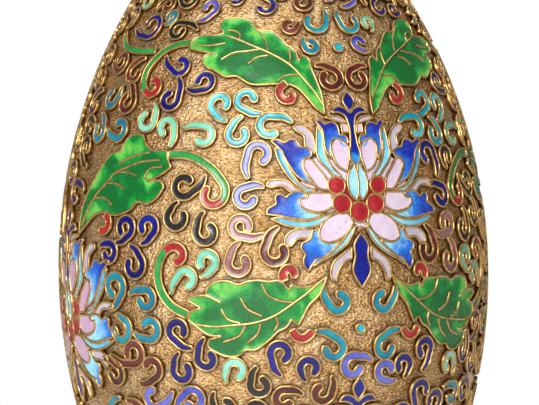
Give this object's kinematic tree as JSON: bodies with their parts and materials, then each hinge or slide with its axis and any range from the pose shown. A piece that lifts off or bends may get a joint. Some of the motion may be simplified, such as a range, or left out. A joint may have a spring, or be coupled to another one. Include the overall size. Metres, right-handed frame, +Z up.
{
  "type": "cloisonne vase",
  "caption": "Small cloisonne vase: gilt copper body with raised enamel lotus flowers, leaves and scrolls in wire cells, on a ring foot.",
  "frame": {"origin": "centre of the foot ring, on the surface that the vase stands on", "axes": "+Z up along the axis of the vase; -Y is the front, where the upper lotus is just right of centre"},
  "size_m": [0.0676, 0.0674, 0.128],
  "materials": {
    "black_enamel": "glossy opaque enamel",
    "cloison_wire": "polished gilt wire",
    "cobalt_enamel": "glossy enamel, shaded from cobalt to sky blue",
    "cyan_enamel": "glossy opaque enamel",
    "gilt_ground": "gilt copper, stippled by fine chisel marks",
    "gilt_ring": "polished gilt",
    "green_enamel": "glossy opaque enamel, shaded in two greens",
    "lining_enamel": "plain glossy opaque enamel",
    "maroon_enamel": "glossy opaque enamel",
    "mint_enamel": "glossy opaque enamel",
    "red_enamel": "glossy opaque enamel",
    "turquoise_enamel": "glossy opaque enamel",
    "violet_enamel": "glossy opaque enamel",
    "white_enamel": "glossy opaque enamel, shaded to pale pink"
  },
  "bodies": {
    "root": {"ankle_ring": "gilt_ring", "base_enamel": "lining_enamel", "base_plate": "gilt_ground", "body_shell": "gilt_ground", "calyx_enamel": "red_enamel", "foot_ring": "gilt_ring", "foot_skirt": "gilt_ground", "inner_enamel_body": "lining_enamel", "inner_enamel_floor": "lining_enamel", "inner_enamel_neck": "lining_enamel", "lappet_cloisons": "cloison_wire", "lappet_enamel": "turquoise_enamel", "lappet_eye_enamel": "cobalt_enamel", "leaf_cloisons": "cloison_wire", "leaf_enamel": "green_enamel", "lotus_cloisons": "cloison_wire", "lotus_heart_enamel": "cyan_enamel", "lotus_petal_enamel": "white_enamel", "lotus_seed_enamel": "red_enamel", "lotus_sepal_enamel": "white_enamel", "lotus_stem_enamel": "cobalt_enamel", "lotus_strip_enamel": "cyan_enamel", "lotus_tip_enamel": "cobalt_enamel", "mouth_ring": "gilt_ring", "neck_collar": "gilt_ground", "ruyi_cloisons": "cloison_wire", "ruyi_enamel": "cobalt_enamel", "ruyi_eye_enamel": "red_enamel", "scroll_cloisons": "cloison_wire", "scroll_enamel_black": "black_enamel", "scroll_enamel_cobalt": "cobalt_enamel", "scroll_enamel_maroon": "maroon_enamel", "scroll_enamel_mint": "mint_enamel", "scroll_enamel_turquoise": "turquoise_enamel", "scroll_enamel_violet": "violet_enamel", "shoulder_ring": "gilt_ring", "vine_enamel": "green_enamel"}
  },
  "joints": []
}
